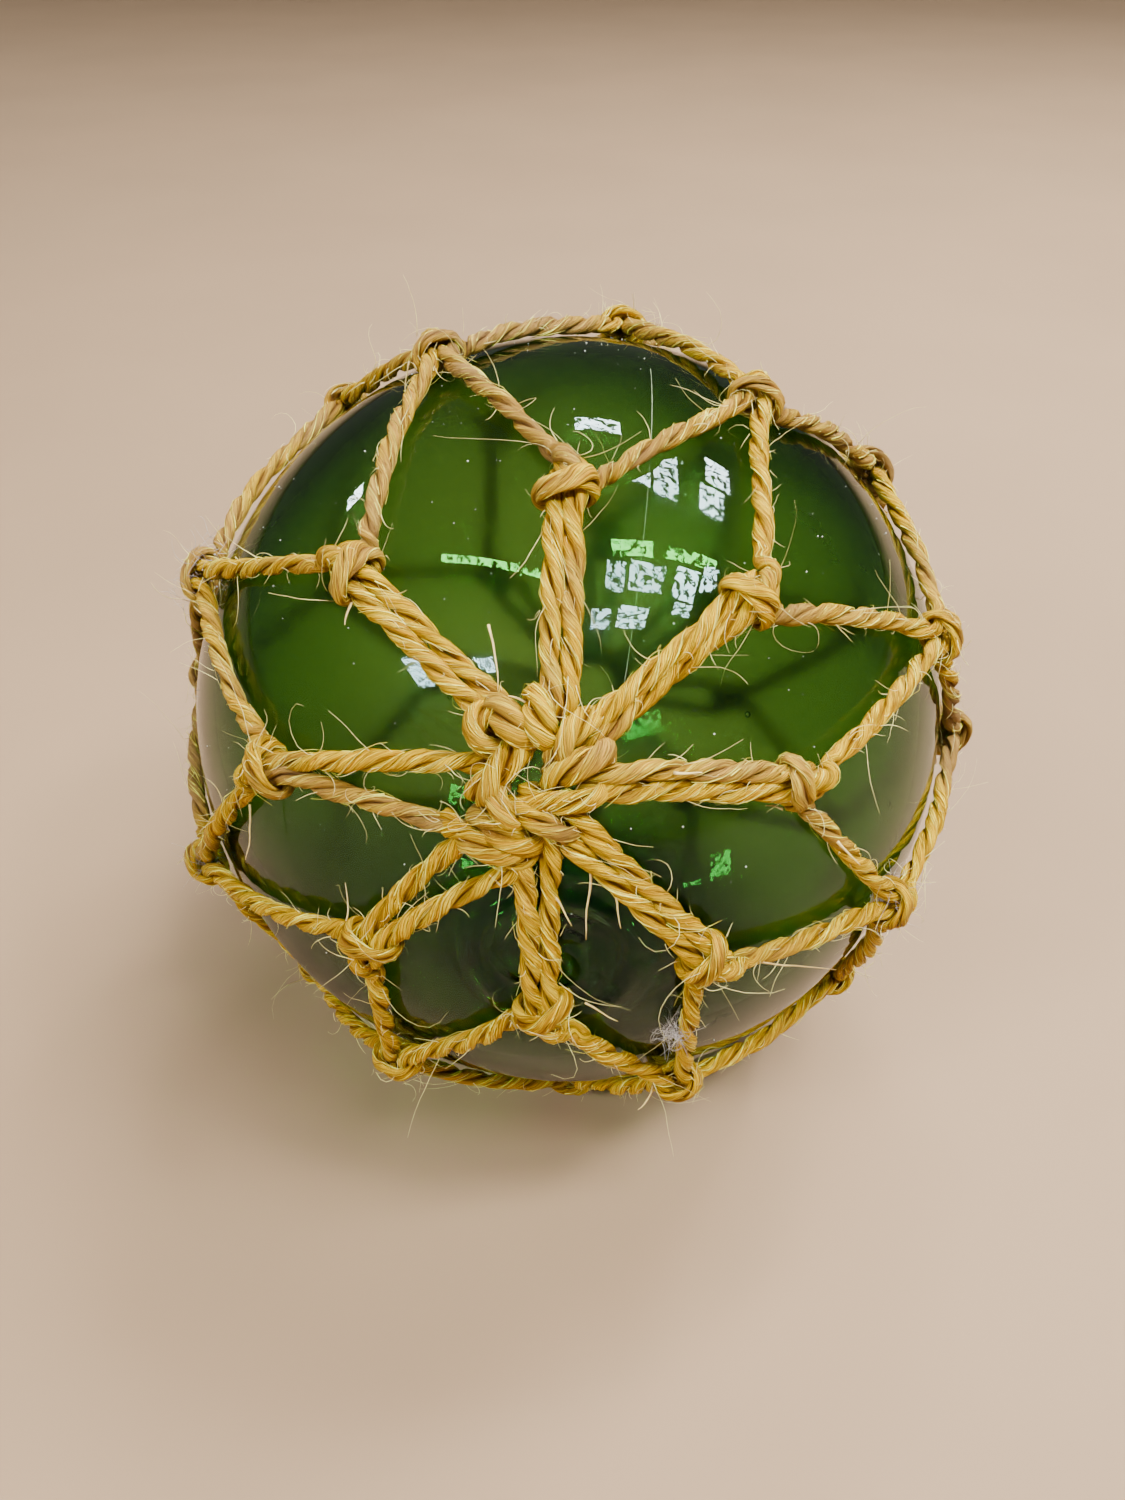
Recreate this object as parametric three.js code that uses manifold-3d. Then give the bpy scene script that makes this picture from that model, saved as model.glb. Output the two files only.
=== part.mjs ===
// A green glass fishing float in its knotted cord net, lying on a flat surface.
// Millimetres, +Z up. The origin is on the surface, straight under the middle of the ball.
// The net is eight-fold about a crown that leans up and towards -Y. A place on the ball is
// given by its azimuth round the crown (0 is upwards, 90 is to the right seen from outside)
// and its distance from the crown, both in degrees.

import * as THREE from 'three';
import { mergeVertices } from 'three/addons/utils/BufferGeometryUtils.js';
import Module from 'manifold-3d';

const wasm = await Module();
wasm.setup();

// Driving dimensions
const GLASS_RADIUS = 63.5;
const CORD_RADIUS = 1.6;
const GAP = 0.3; // between net and glass, and between glass and the surface below
const BALL_HEIGHT = GLASS_RADIUS + GAP;

const CROWN_ELEVATION = 30.3; // degrees above level
const CROWN_HEADING = -6.2; // degrees from -Y, towards +X
const SEAL_ELEVATION = 3.6;
const SEAL_HEADING = -1.8;

const SEAL_RADIUS = 10.8; // the pressed disc of the blow-hole seal
const SEAL_RIM = 0.5; // height of the rim round it
const SEAL_DISH = 0.5; // depth of its middle
const SEAL_SKIRT = 15; // radius where the seal has run out into the ball

const SPOKES = 8;
const SPOKE_SPACING = 360 / SPOKES;
const LEG_SPREAD = 1.75; // half the distance between the two cords of a spoke
const CORD_LIFT = GAP + CORD_RADIUS + 0.15; // middle of a cord above the glass, between knots
const KNOT_LIFT = GAP + 3.1; // middle of a knot above the glass
const KNOT_LENGTH = 4.2; // half the length of a knot's wrap, across its legs
const KNOT_WIDTH = 2.7; // half the width of the wrap, along its legs
const KNOT_SLANT = 20; // degrees the wrap leans from square across its legs
const BIGHT_REACH = 5.2; // how far the bight of the legs stands past the knot's middle
const KNOT_SIDES = 6; // faces round a knot
const LEG_END = 0.5; // where a cord ends inside a knot, before or past its middle
const CROWN_RING = 5.6; // radius of the ring of turns at the crown
const CROWN_TURN = 3.1; // half the thickness of that ring
const CROWN_LOBE = 0.8; // how far the ring swells at each spoke
const BACK_RING = 7.4; // radius of the plainer ring that closes the net at the back
const RING_BITE = 0.8; // how deep the spokes run into a ring

// Rings of knots from the crown backwards: distance from the crown, whether the knots stand
// between the spokes, and how far each knot of this hand-tied net strays from its even place.
const RINGS = [
  { away: 31.5, between: false, turned: [5, 6, 2, 1, -6, -8, -7, -2], pushed: [0, 0, 0, 1, 0, -1, 1, -2] },
  { away: 61, between: true, turned: [6, 5, 0, -1, -1, -2, -2, 3], pushed: [-2, 3, -2, -1, -4, 4, 2, 1] },
  { away: 89, between: false, turned: [5, 3, -1, -4, -4, -3, 3, 6], pushed: [0, 1, 0, -1, -2, 0, 2, 0] },
  { away: 118, between: true, turned: [4, 3, 0, -2, -3, -3, -2, 2], pushed: [1, 0, -1, 0, 0, 2, 0, -1] },
  { away: 148, between: false, turned: [3, 2, -2, -1, 0, -3, 1, 2], pushed: [0, -1, 1, 0, 0, -1, 1, 0] },
];

const ball = new THREE.Vector3(0, 0, BALL_HEIGHT);

// A direction from its elevation above level and its heading from -Y towards +X.
function direction(elevation, heading) {
  const up = THREE.MathUtils.degToRad(elevation);
  const round = THREE.MathUtils.degToRad(heading);
  return new THREE.Vector3(Math.sin(round) * Math.cos(up), -Math.cos(round) * Math.cos(up), Math.sin(up));
}

const crown = direction(CROWN_ELEVATION, CROWN_HEADING);
const upFromCrown = new THREE.Vector3(0, 0, 1).addScaledVector(crown, -crown.z).normalize();
const rightOfCrown = new THREE.Vector3().crossVectors(upFromCrown, crown);

// The outward direction at an azimuth round the crown and a distance from it.
function outward(azimuth, away) {
  const round = THREE.MathUtils.degToRad(azimuth);
  const tilt = THREE.MathUtils.degToRad(away);
  return crown.clone().multiplyScalar(Math.cos(tilt))
    .addScaledVector(upFromCrown, Math.sin(tilt) * Math.cos(round))
    .addScaledVector(rightOfCrown, Math.sin(tilt) * Math.sin(round));
}

// The point at a height above the glass, out along a direction.
function above(out, lift) {
  return ball.clone().addScaledVector(out, GLASS_RADIUS + lift);
}

// A geometry with only its positions, its shared vertices merged.
function bare(geometry) {
  const plain = geometry.clone();
  plain.deleteAttribute('normal');
  plain.deleteAttribute('uv');
  return mergeVertices(plain, 1e-4);
}

function toSolid(geometry) {
  const merged = bare(geometry);
  return new wasm.Manifold(new wasm.Mesh({
    numProp: 3,
    vertProperties: new Float32Array(merged.getAttribute('position').array),
    triVerts: new Uint32Array(merged.getIndex().array),
  }));
}

function toGeometry(solid) {
  const mesh = solid.getMesh();
  const geometry = new THREE.BufferGeometry();
  geometry.setAttribute('position', new THREE.BufferAttribute(mesh.vertProperties, 3));
  geometry.setIndex(new THREE.BufferAttribute(mesh.triVerts, 1));
  return geometry;
}

// Cross-sections, as points sideways and upwards from the glass: one cord, and two side by
// side. Both turn a flat side or two low corners to the glass.
const SINGLE = Array.from({ length: 5 }, (_, corner) => (
  new THREE.Vector2(0, CORD_RADIUS).rotateAround(new THREE.Vector2(), (corner * Math.PI * 2) / 5)));
const DOUBLE = [
  [LEG_SPREAD + CORD_RADIUS, 0], [LEG_SPREAD, CORD_RADIUS * 0.95], [0, CORD_RADIUS * 0.4],
  [-LEG_SPREAD, CORD_RADIUS * 0.95], [-LEG_SPREAD - CORD_RADIUS, 0],
  [-LEG_SPREAD, -CORD_RADIUS * 0.85], [0, -CORD_RADIUS * 0.4], [LEG_SPREAD, -CORD_RADIUS * 0.85],
].map(([sideways, up]) => new THREE.Vector2(sideways, up));

// A cord of some cross-section through some points, its upper side turned from the glass.
function cord(points, section) {
  const path = new THREE.CatmullRomCurve3(points, false, 'centripetal');
  const steps = points.length - 1;
  const frames = path.computeFrenetFrames(steps, false);
  const out = points[0].clone().sub(ball);
  const upwards = Math.atan2(out.dot(frames.binormals[0]), out.dot(frames.normals[0]));
  const turn = upwards - Math.PI / 2;
  const corners = section.map((corner) => corner.clone().rotateAround(new THREE.Vector2(), turn));
  return new THREE.ExtrudeGeometry(new THREE.Shape(corners), { steps, extrudePath: path });
}

// A cord pulled tight over the glass from one direction to another, clear of it between.
function span(from, to, section) {
  const arc = from.angleTo(to);
  const axis = new THREE.Vector3().crossVectors(from, to).normalize();
  const lifts = [KNOT_LIFT, CORD_LIFT, KNOT_LIFT];
  const points = lifts.map((lift, i) => {
    const out = from.clone().applyAxisAngle(axis, (arc * i) / (lifts.length - 1));
    return above(out, lift);
  });
  return cord(points, section);
}

// A sheet-bend knot: a slanted wrap across the legs, then their bight standing out beyond it.
// It is a lathe about the line of the legs, flattened towards the glass and sheared.
function knot({ out, across, along }) {
  const profile = [
    [0, -KNOT_WIDTH], [KNOT_LENGTH * 0.8, -KNOT_WIDTH], [KNOT_LENGTH, 0],
    [LEG_SPREAD + CORD_RADIUS, KNOT_WIDTH], [0, BIGHT_REACH],
  ];
  const points = profile.map(([radius, onward]) => new THREE.Vector2(radius, onward));
  const shape = new THREE.LatheGeometry(points, KNOT_SIDES, Math.PI / KNOT_SIDES);
  const shear = Math.tan(THREE.MathUtils.degToRad(KNOT_SLANT));
  shape.applyMatrix4(new THREE.Matrix4().makeShear(shear, 0, 0, 0, 0, 0));
  shape.scale(1, 1, (KNOT_LIFT - GAP) / KNOT_LENGTH);
  shape.applyMatrix4(new THREE.Matrix4().makeBasis(across, along, out.clone()));
  const middle = above(out, KNOT_LIFT);
  return shape.translate(middle.x, middle.y, middle.z);
}

// The turns of cord round the hole where the spokes meet: a ring that swells at each spoke.
function crownRing(out, radius, lobe, stepsPerSpoke) {
  const ring = new THREE.TorusGeometry(2, 1, 6, SPOKES * stepsPerSpoke);
  const position = ring.getAttribute('position');
  for (let i = 0; i < position.count; i += 1) {
    const round = Math.atan2(position.getY(i), position.getX(i));
    const reach = Math.hypot(position.getX(i), position.getY(i)) - 2;
    const thick = CROWN_TURN + lobe * Math.cos(round * SPOKES);
    const from = radius + reach * thick;
    position.setXYZ(i, Math.cos(round) * from, Math.sin(round) * from, position.getZ(i) * thick);
  }
  ring.lookAt(out);
  const lift = above(out, GAP + CROWN_TURN + lobe);
  ring.translate(lift.x, lift.y, lift.z);
  return ring;
}

// The ball, solid, as a lathe about the line through its blow-hole seal.
function glassBall() {
  const profile = [
    new THREE.Vector2(0, GLASS_RADIUS - SEAL_DISH),
    new THREE.Vector2(SEAL_RADIUS * 0.7, Math.sqrt(GLASS_RADIUS ** 2 - (SEAL_RADIUS * 0.7) ** 2) - 0.1),
  ];
  const rim = [[SEAL_RADIUS, SEAL_RIM * 0.6], [SEAL_RADIUS + 1.2, SEAL_RIM], [SEAL_RADIUS + 2.4, 0.2]];
  for (const [radius, rise] of rim) {
    profile.push(new THREE.Vector2(radius, Math.sqrt(GLASS_RADIUS ** 2 - radius ** 2) + rise));
  }
  const start = Math.asin(SEAL_SKIRT / GLASS_RADIUS);
  const rows = 13;
  for (let row = 0; row < rows; row += 1) {
    const angle = start + ((Math.PI - start) * row) / rows;
    profile.push(new THREE.Vector2(Math.sin(angle) * GLASS_RADIUS, Math.cos(angle) * GLASS_RADIUS));
  }
  profile.push(new THREE.Vector2(0, -GLASS_RADIUS));
  const shape = new THREE.LatheGeometry(profile.reverse(), 32);
  shape.applyQuaternion(new THREE.Quaternion().setFromUnitVectors(
    new THREE.Vector3(0, 1, 0), direction(SEAL_ELEVATION, SEAL_HEADING)));
  shape.translate(ball.x, ball.y, ball.z);
  return bare(shape);
}

// Where each knot of a ring lies: outwards, across its legs and along them from the crown.
function ringPlaces({ away, between, turned, pushed }) {
  return turned.map((stray, i) => {
    const azimuth = (i + (between ? 0.5 : 0)) * SPOKE_SPACING + stray;
    const out = outward(azimuth, away + pushed[i]);
    const across = new THREE.Vector3().crossVectors(out, crown).normalize();
    const along = new THREE.Vector3().crossVectors(out, across);
    return { out, across, along };
  });
}

// The direction of a point beside a knot's middle.
function beside({ out, across, along }, sideways, onward) {
  return out.clone().multiplyScalar(GLASS_RADIUS)
    .addScaledVector(across, sideways)
    .addScaledVector(along, onward).normalize();
}

// The two cords of a spoke, side by side from a ring of turns about a pole to a knot.
function spoke(place, pole, reach, onward) {
  const away = place.out.clone().projectOnPlane(pole).normalize();
  const edge = pole.clone().multiplyScalar(GLASS_RADIUS).addScaledVector(away, reach).normalize();
  return span(edge, beside(place, 0, onward), DOUBLE);
}

function cordNet() {
  const rings = RINGS.map(ringPlaces);
  const backPole = crown.clone().negate();
  const pieces = [];
  for (const place of rings[0]) {
    pieces.push(spoke(place, crown, CROWN_RING + CROWN_TURN - RING_BITE, -LEG_END));
  }
  for (const place of rings[rings.length - 1]) {
    pieces.push(spoke(place, backPole, BACK_RING + CROWN_TURN - RING_BITE, LEG_END));
  }
  rings.forEach((places, ring) => {
    for (const place of places) pieces.push(knot(place));
    if (ring === 0) return;
    const first = RINGS[ring].between ? 0 : -1;
    places.forEach((place, i) => {
      [-1, 1].forEach((side, k) => {
        const earlier = rings[ring - 1][(i + first + k + SPOKES) % SPOKES];
        const start = beside(earlier, -side * LEG_SPREAD, LEG_END);
        const end = beside(place, side * LEG_SPREAD, -LEG_END);
        pieces.push(span(start, end, SINGLE));
      });
    });
  });
  pieces.push(crownRing(crown, CROWN_RING, CROWN_LOBE, 3));
  pieces.push(crownRing(backPole, BACK_RING, 0, 2));
  const whole = pieces.map(toSolid).reduce((net, piece) => net.add(piece));
  const under = new THREE.BoxGeometry(100, 100, 20);
  under.translate(0, 0, -10);
  return toGeometry(whole.subtract(toSolid(under)));
}

const glass = new THREE.MeshStandardMaterial({ color: 0x3c6414, roughness: 0.05, metalness: 0 });
const manila = new THREE.MeshStandardMaterial({ color: 0xd7a54b, roughness: 0.85, metalness: 0 });

const float = new THREE.Group();
for (const [name, geometry, material] of [
  ['glass_ball', glassBall(), glass],
  ['cord_net', cordNet(), manila],
]) {
  const mesh = new THREE.Mesh(geometry, material);
  mesh.name = name;
  float.add(mesh);
}

export default float;
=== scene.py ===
"""Looks of a green glass fishing float in its knotted cord net, laid out as a Blender add-on."""

import math

import bpy
import numpy as np
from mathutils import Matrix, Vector


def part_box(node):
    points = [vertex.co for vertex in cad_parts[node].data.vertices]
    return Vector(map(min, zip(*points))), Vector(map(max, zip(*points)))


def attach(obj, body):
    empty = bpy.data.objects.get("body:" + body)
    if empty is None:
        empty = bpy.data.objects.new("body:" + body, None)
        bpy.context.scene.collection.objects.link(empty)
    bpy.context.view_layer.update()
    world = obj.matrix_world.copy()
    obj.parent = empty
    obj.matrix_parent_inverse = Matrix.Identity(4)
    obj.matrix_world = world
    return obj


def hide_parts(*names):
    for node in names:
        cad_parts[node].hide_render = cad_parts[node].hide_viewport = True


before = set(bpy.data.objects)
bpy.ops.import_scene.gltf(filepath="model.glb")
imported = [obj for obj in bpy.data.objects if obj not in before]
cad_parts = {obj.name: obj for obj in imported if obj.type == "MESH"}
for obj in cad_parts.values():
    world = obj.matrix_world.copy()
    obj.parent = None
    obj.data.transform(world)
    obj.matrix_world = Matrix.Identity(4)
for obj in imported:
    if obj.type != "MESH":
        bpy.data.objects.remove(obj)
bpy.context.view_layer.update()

bl_info = {
    "name": "Netted Glass Float",
    "version": (1, 0, 0),
    "blender": (4, 5, 0),
    "location": "View3D > Sidebar > Glass Float",
    "description": "Builds a hollow green glass float in a hand-tied net of two-strand cord",
    "category": "Add Mesh",
}

MM = 0.001
BODY = "root"
BALL_LOW, BALL_HIGH = (np.array(corner, float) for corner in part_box("glass_ball"))
BALL = (BALL_LOW + BALL_HIGH) / 2
GLASS_RADIUS = 63.5  # millimetres, as every length below unless it says metres

# How the net lies on the ball: its crown, and the seal of the blow hole, as elevation above
# level and heading from -Y towards +X, in degrees.
CROWN = (30.3, -6.2)
SEAL = (3.6, -1.8)
SPOKES = 8
SPOKE_SPACING = 360 / SPOKES

# Rings of knots from the crown backwards: distance from the crown in degrees, whether the
# knots stand between the spokes, and how far each knot strays round and away from its place.
RINGS = (
    (31.5, False, (5, 6, 2, 1, -6, -8, -7, -2), (0, 0, 0, 1, 0, -1, 1, -2)),
    (61, True, (6, 5, 0, -1, -1, -2, -2, 3), (-2, 3, -2, -1, -4, 4, 2, 1)),
    (89, False, (5, 3, -1, -4, -4, -3, 3, 6), (0, 1, 0, -1, -2, 0, 2, 0)),
    (118, True, (4, 3, 0, -2, -3, -3, -2, 2), (1, 0, -1, 0, 0, 2, 0, -1)),
    (148, False, (3, 2, -2, -1, 0, -3, 1, 2), (0, -1, 1, 0, 0, -1, 1, 0)),
)

# A cord's way through a sheet-bend knot, and its way round as the bight that the knot ties.
# Across the legs, along them away from the crown, height above the glass, how far the cord
# is flattened (0 to 1).
WRAP = (
    (-3.4, 6.6, 2.4, 0.0), (-1.2, 4.3, 4.5, 0.1), (0.2, 2.3, 4.3, 0.2), (0.9, 0.9, 2.4, 0.3),
    (2.3, 0.2, 1.3, 0.4), (3.9, 0.5, 2.5, 0.6), (3.2, 0.8, 4.8, 0.9), (0.9, 0.1, 5.6, 1.0),
    (-1.8, -0.8, 5.4, 1.0), (-3.8, -1.2, 3.7, 0.8), (-3.2, -0.8, 1.6, 0.5),
    (-0.8, 0.4, 1.1, 0.5), (2.6, 2.0, 1.2, 0.3), (4.6, 4.0, 1.8, 0.0),
)
BIGHT = (
    (-1.9, -3.2, 2.8, 0.0), (-1.75, 0.0, 3.3, 0.2), (-2.1, 2.6, 3.0, 0.1), (-1.6, 4.5, 2.2, 0.1),
    (0.0, 5.4, 1.8, 0.3), (1.6, 4.5, 2.2, 0.1), (2.1, 2.6, 3.0, 0.1), (1.75, 0.0, 3.3, 0.2),
    (1.9, -3.2, 2.8, 0.0),
)
KNOT_CORE = 3.2  # height of the middle of a knot
SPOKE_FATNESS, TUCK_FATNESS = 1.04, 1.15  # against the cord of the netting

# Where the two cords of each spoke leave the crown: rightwards and upwards from its pole.
SPOKE_ENDS = (
    ((3.0, 6.6), (5.2, 8.2)), ((8.3, 5.6), (9.8, 4.2)), ((9.2, -0.4), (9.8, -2.8)),
    ((7.1, -6.0), (5.6, -8.6)), ((3.9, -8.4), (0.4, -11.6)), ((0.6, -12.2), (-6.6, -9.6)),
    ((-6.0, -8.6), (-4.6, -0.1)), ((-4.4, 5.6), (-0.6, 5.6)),
)

# The fat turns of cord that close the crown about its hole: where each rises beside the hole,
# where it dives outside (rightwards and upwards from the middle of the hole), how far it bows
# sideways, how high it rides, and how fat it is.
HOLE = (1.7, -0.2)  # rightwards and upwards from the pole
CROWN_TURNS = (
    ((1.9, -1.3), (8.4, 2.5), 0.3, 5.2, 1.22),
    ((2.5, 1.2), (6.0, 6.5), 0.6, 5.0, 1.25),
    ((1.5, 3.3), (-0.3, 8.6), 0.2, 5.1, 1.22),
    ((-1.0, 3.2), (-5.2, 7.2), -0.2, 5.4, 1.3),
    ((-4.9, 1.8), (-5.4, 6.8), 2.2, 4.8, 1.2),
    ((-2.0, 2.6), (-6.7, -3.6), 0.3, 5.0, 1.3),
    ((-4.6, -2.2), (-1.5, -7.2), -0.3, 5.6, 1.0),
    ((-2.2, -4.5), (4.8, -8.0), 0.4, 5.2, 1.05),
    ((-1.0, -3.6), (7.9, -2.7), -0.6, 5.0, 1.05),
)
# Two short cords that tuck under the turns: rightwards and upwards from the pole, and height.
CROWN_TUCKS = (
    ((-9.5, -7.4, 2.4), (-6.2, -8.9, 4.2), (-2.6, -10.3, 4.9), (0.6, -11.2, 3.9),
     (1.8, -10.6, 1.8)),
    ((-5.4, -6.0, 2.6), (-3.4, -7.2, 4.6), (-0.4, -8.6, 5.0), (2.0, -9.6, 3.6),
     (2.6, -9.8, 1.6)),
)


class FloatSizes(bpy.types.PropertyGroup):
    """Sizes that a user may want to change."""

    wall: bpy.props.FloatProperty(
        name="Glass wall", description="Thickness of the blown wall",
        default=3.5 * MM, min=1 * MM, unit="LENGTH")
    cord: bpy.props.FloatProperty(
        name="Cord", description="Diameter of the two-strand cord",
        default=2.95 * MM, min=1 * MM, unit="LENGTH")
    lay: bpy.props.FloatProperty(
        name="Lay", description="Length in which the two strands go once round each other",
        default=13.5 * MM, min=4 * MM, unit="LENGTH")
    step: bpy.props.FloatProperty(
        name="Step", description="Distance between rings of points along a cord",
        default=0.5 * MM, min=0.2 * MM, unit="LENGTH")
    strays: bpy.props.IntProperty(
        name="Stray fibres", description="How many loose fibres stand out of the cord",
        default=2500, min=0)
    seeds: bpy.props.IntProperty(
        name="Seeds", description="How many small bubbles are sealed in the glass",
        default=90, min=0)
    lying: bpy.props.IntProperty(
        name="Lying fibres", description="How many loose fibres lie along the strands",
        default=5200, min=0)
    specks: bpy.props.IntProperty(
        name="Dust specks", description="How many specks of dust lie on the glass",
        default=420, min=0)


class FloatColours(bpy.types.PropertyGroup):
    """Colours that a user may want to change."""

    glass: bpy.props.FloatVectorProperty(
        name="Glass", description="Colour that light takes on inside the glass",
        default=(0.43, 0.645, 0.31), subtype="COLOR", min=0, max=1)
    fibre: bpy.props.FloatVectorProperty(
        name="Fibre", description="Middle colour of the cord",
        default=(0.82, 0.41, 0.0), subtype="COLOR", min=0, max=1)
    fibre_light: bpy.props.FloatVectorProperty(
        name="Light fibre", description="Colour of the palest fibres",
        default=(1.0, 0.66, 0.0), subtype="COLOR", min=0, max=1)
    # Painted shade: the dark brown laid into the cord deep between its strands and in the gaps
    # between its fibres.
    painted_fibre_shade: bpy.props.FloatVectorProperty(
        name="Painted fibre shade", description="Colour deep between the strands",
        default=(0.22, 0.075, 0.002), subtype="COLOR", min=0, max=1)
    floor: bpy.props.FloatVectorProperty(
        name="Floor", description="Colour of the plain floor",
        default=(0.345, 0.215, 0.115), subtype="COLOR", min=0, max=1)


# Places on the ball


def unit(v):
    """Vectors brought to a length of one."""
    return v / np.linalg.norm(v, axis=-1, keepdims=True)


def heading(elevation, bearing):
    """A direction from its elevation above level and its bearing from -Y towards +X."""
    up, turn = math.radians(elevation), math.radians(bearing)
    return np.array([
        math.sin(turn) * math.cos(up), -math.cos(turn) * math.cos(up), math.sin(up)])


POLE = heading(*CROWN)
POLE_UP = unit(np.array([0.0, 0.0, 1.0]) - POLE[2] * POLE)
POLE_RIGHT = np.cross(POLE_UP, POLE)


def outward(azimuth, away):
    """The outward direction at an azimuth round the crown and a distance from it, degrees."""
    turn, tilt = math.radians(azimuth), math.radians(away)
    return (math.cos(tilt) * POLE + math.sin(tilt) * math.cos(turn) * POLE_UP
            + math.sin(tilt) * math.sin(turn) * POLE_RIGHT)


def above(out, lift):
    """The point in metres that stands lift millimetres above the glass."""
    return BALL + out * (GLASS_RADIUS + lift) * MM


class Spot:
    """A place on the ball with its own directions: outwards, across and along from the crown."""

    def __init__(self, out):
        self.out = out
        self.across = unit(np.cross(out, POLE))
        self.along = np.cross(out, self.across)

    def beside(self, sideways, onward):
        """The outward direction of a point a little to the side and further on."""
        return unit(self.out * GLASS_RADIUS + self.across * sideways + self.along * onward)


def near_pole(rightwards, upwards, pole_sign=1):
    """The outward direction of a point laid out flat about the crown or the back pole."""
    away = math.degrees(math.hypot(rightwards, upwards) / GLASS_RADIUS)
    azimuth = math.degrees(math.atan2(rightwards, upwards))
    return outward(azimuth, away if pole_sign > 0 else 180 - away)


def ring_spots(ring):
    """The places of a ring's knots, in order round the crown."""
    away, between, turned, pushed = ring
    shift = 0.5 if between else 0.0
    return [Spot(outward((i + shift) * SPOKE_SPACING + turned[i], away + pushed[i]))
            for i in range(SPOKES)]


KNOTS = [ring_spots(ring) for ring in RINGS]
ROW_NAMES = ("net_row_front", "net_row_wide", "net_row_middle", "net_row_low", "net_row_back")


# Routes of the cords. A route is a list of stations: point, what the cord lies round, and
# how far it is flattened.


def station(point, round_what, flat):
    """One station of a route, as a row of seven numbers."""
    return np.concatenate([point, round_what, [flat]])


def knot_stations(spot, way, rng, wraps):
    """The stations of a cord's way through one knot, a little different in every knot."""
    size = 0.78 + rng.uniform(-0.05, 0.07)
    lean = rng.uniform(-0.25, 0.25)
    rows = []
    for across, along, lift, flat in way:
        x = across * size + rng.normal(0, 0.12)
        y = along * 0.88 + lean * across * 0.4 + rng.normal(0, 0.12)
        core = above(spot.beside(0, y), KNOT_CORE) if wraps else BALL
        rows.append(station(above(spot.beside(x, y), lift), core, flat))
    return rows


def span_stations(start, end, rng, lifts=(1.75, 1.6, 1.7)):
    """Stations between two points where the cord is pulled tight over the glass."""
    a, b = unit(start - BALL), unit(end - BALL)
    side = unit(np.cross(a, b))
    bow = rng.uniform(-0.5, 0.5)
    rows = []
    for i, lift in enumerate(lifts):
        t = (i + 1) / (len(lifts) + 1)
        out = unit(a * (1 - t) + b * t + side * bow * math.sin(math.pi * t) / GLASS_RADIUS)
        rows.append(station(above(out, lift + rng.uniform(0, 0.15)), BALL, 0.0))
    return rows


def joined(groups, rng, closed):
    """Groups of stations strung together with tight spans between them."""
    rows = []
    for i, group in enumerate(groups):
        rows.extend(group)
        if i + 1 < len(groups) or closed:
            following = groups[(i + 1) % len(groups)]
            rows.extend(span_stations(group[-1][:3], following[0][:3], rng))
    return np.array(rows)


def row_route(index, rng):
    """One round of netting: a knot in this ring, a bight in the next, and so on round."""
    groups = []
    shift = 1 if RINGS[index][1] else 0
    for i in range(SPOKES):
        groups.append(knot_stations(KNOTS[index][i], WRAP, rng, True))
        following = KNOTS[index + 1][(i + shift) % SPOKES]
        groups.append(knot_stations(following, BIGHT, rng, False))
    return joined(groups, rng, True)


def last_row_route(rng):
    """The last round: its loops are gathered on the ring that closes the net at the back."""
    groups = []
    for i in range(SPOKES):
        here, following = KNOTS[-1][i], KNOTS[-1][(i + 1) % SPOKES]
        groups.append(knot_stations(here, WRAP, rng, True))
        loop = []
        for spot, side in ((here, -1), (following, 1)):
            toward = unit(spot.out + POLE * np.dot(spot.out, -POLE))
            edge = unit(-POLE * GLASS_RADIUS + toward * 9.5 - spot.across * side * 1.6)
            inner = unit(-POLE * GLASS_RADIUS + toward * 6.5 - spot.across * side * 2.4)
            pair = [station(above(edge, 4.6), BALL, 0.2), station(above(inner, 3.4), BALL, 0.3)]
            loop.extend(pair if side < 0 else pair[::-1])
        groups.append(loop)
    return joined(groups, rng, True)


def spoke_route(i, rng):
    """The two cords of a spoke, which are one cord bent round through the spoke's knot."""
    ends = []
    for rightwards, upwards in SPOKE_ENDS[i]:
        outer = station(above(near_pole(rightwards, upwards), 2.7), BALL, 0.1)
        inner = station(above(near_pole(rightwards * 0.72, upwards * 0.72), 1.9), BALL, 0.3)
        ends.append([inner, outer])
    legs = [[x * 0.8, y, lift, flat] for x, y, lift, flat in BIGHT]
    groups = [ends[0], knot_stations(KNOTS[0][i], legs, rng, False), ends[1][::-1]]
    over = rng.permutation([1.7, 2.5])
    rows = list(groups[0])
    for side in range(2):
        lifts = (over[side] + 0.3, over[side], over[side] + 0.2)
        rows.extend(span_stations(groups[side][-1][:3], groups[side + 1][0][:3], rng, lifts))
        rows.extend(groups[side + 1])
    return np.array(rows)


def crown_route(rise, dive, bow, ride):
    """One turn of the crown: up beside the hole, over the others and down outside."""
    rise, dive = np.array(rise) + HOLE, np.array(dive) + HOLE
    run = dive - rise
    left = np.array([-run[1], run[0]]) / np.linalg.norm(run)
    middle = (rise + dive) / 2
    core = above(near_pole(*middle), 2.8)
    rows = []
    for share, lift, flat in ((0.22, 0.9, 0.3), (0.02, 1.6, 0.3), (0.0, 3.2, 0.3),
                              (0.28, ride, 0.4), (0.72, ride, 0.4), (1.0, 3.2, 0.3),
                              (0.98, 1.6, 0.3), (0.78, 0.9, 0.3)):
        place = rise + run * share + left * bow * math.sin(math.pi * share)
        rows.append(station(above(near_pole(*place), lift), core, flat))
    return np.array(rows)


def tuck_route(points):
    """One of the short cords that tuck under the crown's turns."""
    return np.array([station(above(near_pole(x, y), lift), BALL, 0.5) for x, y, lift in points])


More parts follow.
